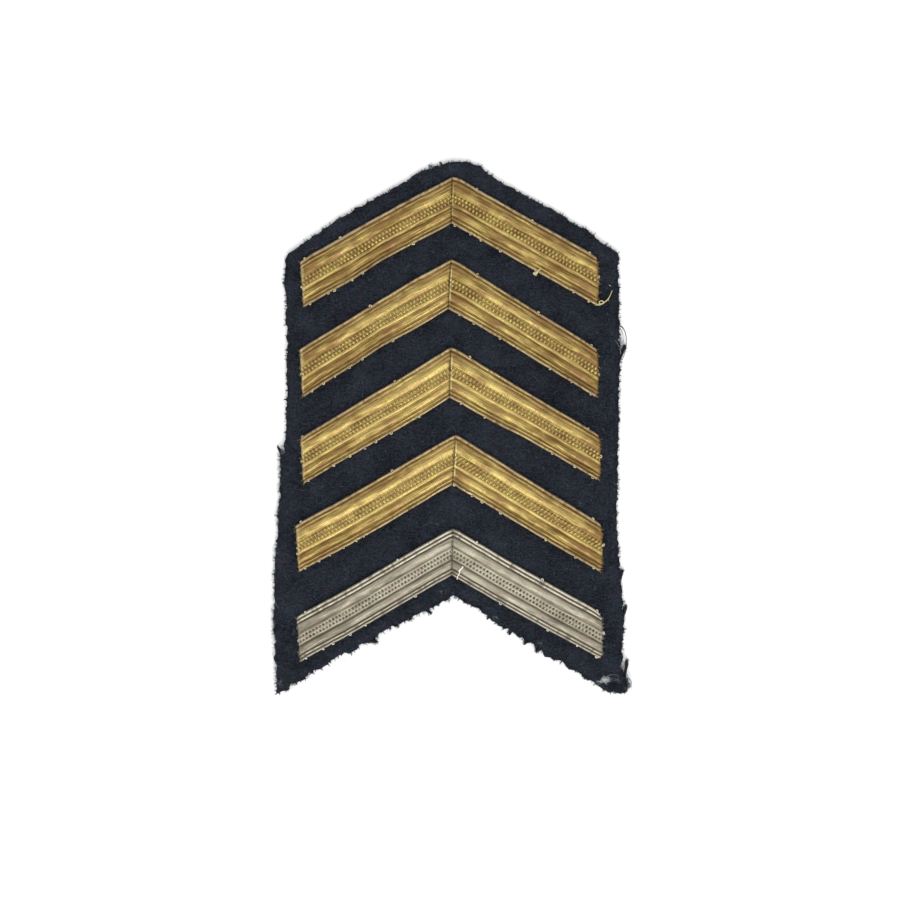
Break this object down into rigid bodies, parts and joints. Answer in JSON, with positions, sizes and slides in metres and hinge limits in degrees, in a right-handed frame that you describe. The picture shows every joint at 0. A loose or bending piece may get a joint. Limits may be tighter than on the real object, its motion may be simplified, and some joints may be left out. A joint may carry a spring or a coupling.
{
  "type": "overseas service chevron",
  "caption": "Point-up chevrons of gold and silver metal-wire lace sewn on a hand-cut patch of navy felted wool, lying face up.",
  "frame": {"origin": "bottom centre of the box around the patch, on the underside of the cloth", "axes": "+Z out of the lace face, +Y towards the points of the chevrons, +X to the right as it is looked at"},
  "size_m": [0.054, 0.0804, 0.0028],
  "materials": {
    "navy_wool": "dark navy felted wool with a short worn nap",
    "gold_lace": "woven gilt metal wire, satin bands, tarnished",
    "silver_lace": "woven silvered metal wire, satin bands, dulled",
    "pale_thread": "fine pale yellow and white sewing cotton"
  },
  "bodies": {
    "root": {"backing_cloth": "navy_wool", "gold_lace_1": "gold_lace", "gold_lace_2": "gold_lace", "gold_lace_3": "gold_lace", "gold_lace_4": "gold_lace", "silver_lace": "silver_lace"}
  },
  "joints": []
}
